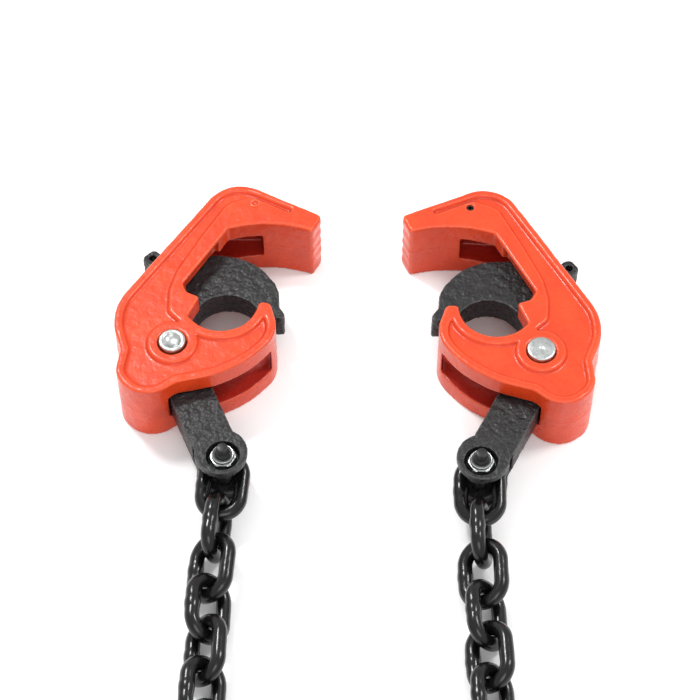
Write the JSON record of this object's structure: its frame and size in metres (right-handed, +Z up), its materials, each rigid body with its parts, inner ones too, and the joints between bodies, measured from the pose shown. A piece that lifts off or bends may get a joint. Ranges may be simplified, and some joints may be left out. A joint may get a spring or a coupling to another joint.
{
  "type": "two-leg chain sling with lifting clamps",
  "caption": "Chain sling whose two legs each end in a hooked lifting clamp with a pivoting cam lever, joined at an oval master link.",
  "frame": {"origin": "on the ground under the middle of the whole sling", "axes": "+X from the left clamp to the right one, +Y from the master link to the clamps, +Z up"},
  "size_m": [0.2686, 0.6208, 0.045],
  "materials": {
    "orange_paint": "gloss enamel over a cast surface",
    "dark_casting": "black-painted coarse casting",
    "zinc_plate": "bright zinc plate",
    "black_oxide": "black oxide",
    "black_chain": "satin black lacquer",
    "nylon": "matte nylon",
    "forged_black": "satin black lacquer over a forging"
  },
  "bodies": {
    "master_link": {"master_link": "forged_black"},
    "left_connector_upper": {"left_connector_upper": "forged_black", "left_connector_pin": "zinc_plate", "left_connector_sleeve": "black_oxide"},
    "left_connector_lower": {"left_connector_lower": "forged_black"},
    "left_link_12": {"left_link_12": "black_chain"},
    "left_link_11": {"left_link_11": "black_chain"},
    "left_link_10": {"left_link_10": "black_chain"},
    "left_link_09": {"left_link_09": "black_chain"},
    "left_link_08": {"left_link_08": "black_chain"},
    "left_link_07": {"left_link_07": "black_chain"},
    "left_link_06": {"left_link_06": "black_chain"},
    "left_link_05": {"left_link_05": "black_chain"},
    "left_link_04": {"left_link_04": "black_chain"},
    "left_link_03": {"left_link_03": "black_chain"},
    "left_link_02": {"left_link_02": "black_chain"},
    "left_link_01": {"left_link_01": "black_chain"},
    "left_lever": {"left_cam_lever": "dark_casting", "left_chain_bolt": "black_oxide", "left_lock_nut": "zinc_plate", "left_nut_insert": "nylon"},
    "left_clamp": {"left_clamp_body": "orange_paint", "left_pivot_pin": "zinc_plate", "left_spring_pin": "black_oxide"},
    "right_connector_upper": {"right_connector_upper": "forged_black", "right_connector_pin": "zinc_plate", "right_connector_sleeve": "black_oxide"},
    "right_connector_lower": {"right_connector_lower": "forged_black"},
    "right_link_12": {"right_link_12": "black_chain"},
    "right_link_11": {"right_link_11": "black_chain"},
    "right_link_10": {"right_link_10": "black_chain"},
    "right_link_09": {"right_link_09": "black_chain"},
    "right_link_08": {"right_link_08": "black_chain"},
    "right_link_07": {"right_link_07": "black_chain"},
    "right_link_06": {"right_link_06": "black_chain"},
    "right_link_05": {"right_link_05": "black_chain"},
    "right_link_04": {"right_link_04": "black_chain"},
    "right_link_03": {"right_link_03": "black_chain"},
    "right_link_02": {"right_link_02": "black_chain"},
    "right_link_01": {"right_link_01": "black_chain"},
    "right_lever": {"right_cam_lever": "dark_casting", "right_chain_bolt": "black_oxide", "right_lock_nut": "zinc_plate", "right_nut_insert": "nylon"},
    "right_clamp": {"right_clamp_body": "orange_paint", "right_pivot_pin": "zinc_plate", "right_spring_pin": "black_oxide"}
  },
  "joints": [
    {"name": "left_connector_swing", "type": "hinge", "parent": "master_link", "child": "left_connector_upper", "pos_m": [-0.02509, -0.1869, 0.02532], "axis": [-0.8822, -0.4613, -0.095], "range_deg": [-15, 15]},
    {"name": "left_connector_fold", "type": "hinge", "parent": "left_connector_upper", "child": "left_connector_lower", "pos_m": [-0.0314, -0.17275, 0.02314], "axis": [-0.4501, -0.3282, -0.8305], "range_deg": [-30, 2]},
    {"name": "left_link_12_swing", "type": "hinge", "parent": "left_connector_lower", "child": "left_link_12", "pos_m": [-0.04469, -0.14289, 0.01855], "axis": [-0.4501, -0.3282, -0.8305], "range_deg": [-20, 2]},
    {"name": "left_link_11_swing", "type": "hinge", "parent": "left_link_12", "child": "left_link_11", "pos_m": [-0.05384, -0.12122, 0.01531], "axis": [-0.7767, -0.2408, 0.5821], "range_deg": [-3, 20]},
    {"name": "left_link_10_swing", "type": "hinge", "parent": "left_link_11", "child": "left_link_10", "pos_m": [-0.06235, -0.09892, 0.01275], "axis": [0.6687, 0.3316, 0.6655], "range_deg": [-3, 20]},
    {"name": "left_link_09_swing", "type": "hinge", "parent": "left_link_10", "child": "left_link_09", "pos_m": [-0.06937, -0.07595, 0.01196], "axis": [0.7176, 0.1963, -0.6682], "range_deg": [-20, 3]},
    {"name": "left_link_08_swing", "type": "hinge", "parent": "left_link_09", "child": "left_link_08", "pos_m": [-0.07508, -0.05264, 0.01186], "axis": [-0.7211, -0.1798, -0.6691], "range_deg": [-20, 3]},
    {"name": "left_link_07_swing", "type": "hinge", "parent": "left_link_08", "child": "left_link_07", "pos_m": [-0.07847, -0.02886, 0.01227], "axis": [-0.734, -0.1163, 0.6691], "range_deg": [-3, 20]},
    {"name": "left_link_06_swing", "type": "hinge", "parent": "left_link_07", "child": "left_link_06", "pos_m": [-0.07978, -0.00487, 0.01186], "axis": [0.7413, 0.0518, 0.6691], "range_deg": [-4, 20]},
    {"name": "left_link_05_swing", "type": "hinge", "parent": "left_link_06", "child": "left_link_05", "pos_m": [-0.07849, 0.01912, 0.01235], "axis": [0.7427, -0.0259, -0.6691], "range_deg": [-20, 4]},
    {"name": "left_link_04_swing", "type": "hinge", "parent": "left_link_05", "child": "left_link_04", "pos_m": [-0.07815, 0.04312, 0.01243], "axis": [-0.7192, 0.0126, -0.6947], "range_deg": [-20, 4]},
    {"name": "left_link_03_swing", "type": "hinge", "parent": "left_link_04", "child": "left_link_03", "pos_m": [-0.07773, 0.06712, 0.01243], "axis": [-0.743, 0.013, 0.6691], "range_deg": [-5, 20]},
    {"name": "left_link_02_swing", "type": "hinge", "parent": "left_link_03", "child": "left_link_02", "pos_m": [-0.07568, 0.09093, 0.01457], "axis": [0.8313, -0.1204, 0.5426], "range_deg": [-7, 15]},
    {"name": "left_link_01_swing", "type": "hinge", "parent": "left_link_02", "child": "left_link_01", "pos_m": [-0.07329, 0.1148, 0.01537], "axis": [0.2776, 0.0046, -0.9607], "range_deg": [-15, 5]},
    {"name": "left_bolt_swivel", "type": "hinge", "parent": "left_link_01", "child": "left_lever", "pos_m": [-0.07173, 0.12968, 0.021], "axis": [0, 0, 1], "range_deg": [-5, 17]},
    {"name": "left_cam_pivot", "type": "hinge", "parent": "left_lever", "child": "left_clamp", "pos_m": [-0.10162, 0.2001, 0.021], "axis": [0, 0, -1], "range_deg": [0, 15]},
    {"name": "right_connector_swing", "type": "hinge", "parent": "master_link", "child": "right_connector_upper", "pos_m": [0.0147, -0.19053, 0.02562], "axis": [-0.7844, 0.6147, 0.0825], "range_deg": [-15, 15]},
    {"name": "right_connector_fold", "type": "hinge", "parent": "right_connector_upper", "child": "right_connector_lower", "pos_m": [0.02101, -0.17638, 0.02345], "axis": [-0.545, 0.1149, -0.8305], "range_deg": [-2, 30]},
    {"name": "right_link_12_swing", "type": "hinge", "parent": "right_connector_lower", "child": "right_link_12", "pos_m": [0.0343, -0.14652, 0.01886], "axis": [-0.545, 0.1149, -0.8305], "range_deg": [-2, 20]},
    {"name": "right_link_11_swing", "type": "hinge", "parent": "right_link_12", "child": "right_link_11", "pos_m": [0.04344, -0.12486, 0.01548], "axis": [-0.7127, 0.3914, 0.5821], "range_deg": [-20, 3]},
    {"name": "right_link_10_swing", "type": "hinge", "parent": "right_link_11", "child": "right_link_10", "pos_m": [0.05175, -0.10244, 0.01328], "axis": [0.7189, -0.201, 0.6655], "range_deg": [-20, 3]},
    {"name": "right_link_09_swing", "type": "hinge", "parent": "right_link_10", "child": "right_link_09", "pos_m": [0.05913, -0.07964, 0.012], "axis": [0.696, -0.2629, -0.6682], "range_deg": [-3, 20]},
    {"name": "right_link_08_swing", "type": "hinge", "parent": "right_link_09", "child": "right_link_08", "pos_m": [0.06446, -0.0562, 0.01256], "axis": [-0.7211, 0.1798, -0.6691], "range_deg": [-3, 20]},
    {"name": "right_link_07_swing", "type": "hinge", "parent": "right_link_08", "child": "right_link_07", "pos_m": [0.06785, -0.03242, 0.01214], "axis": [-0.734, 0.1163, 0.6691], "range_deg": [-20, 3]},
    {"name": "right_link_06_swing", "type": "hinge", "parent": "right_link_07", "child": "right_link_06", "pos_m": [0.06916, -0.00843, 0.01256], "axis": [0.7413, -0.0518, 0.6691], "range_deg": [-20, 4]},
    {"name": "right_link_05_swing", "type": "hinge", "parent": "right_link_06", "child": "right_link_05", "pos_m": [0.06788, 0.01556, 0.01206], "axis": [0.7427, 0.0259, -0.6691], "range_deg": [-4, 20]},
    {"name": "right_link_04_swing", "type": "hinge", "parent": "right_link_05", "child": "right_link_04", "pos_m": [0.06704, 0.03955, 0.01206], "axis": [-0.8085, -0.0282, -0.5878], "range_deg": [-5, 20]},
    {"name": "right_link_03_swing", "type": "hinge", "parent": "right_link_04", "child": "right_link_03", "pos_m": [0.0662, 0.06353, 0.01206], "axis": [-0.6942, -0.0242, 0.7193], "range_deg": [-20, 5]},
    {"name": "right_link_02_swing", "type": "hinge", "parent": "right_link_03", "child": "right_link_02", "pos_m": [0.06558, 0.08741, 0.01455], "axis": [0.8916, -0.024, 0.4523], "range_deg": [-15, 9]},
    {"name": "right_link_01_swing", "type": "hinge", "parent": "right_link_02", "child": "right_link_01", "pos_m": [0.06551, 0.1114, 0.01537], "axis": [0.2419, 0.0339, -0.9697], "range_deg": [-4, 15]},
    {"name": "right_bolt_swivel", "type": "hinge", "parent": "right_link_01", "child": "right_lever", "pos_m": [0.06551, 0.12636, 0.021], "axis": [0, 0, -1], "range_deg": [-5, 17]},
    {"name": "right_cam_pivot", "type": "hinge", "parent": "right_lever", "child": "right_clamp", "pos_m": [0.10048, 0.1944, 0.021], "axis": [0, 0, 1], "range_deg": [0, 15]}
  ]
}
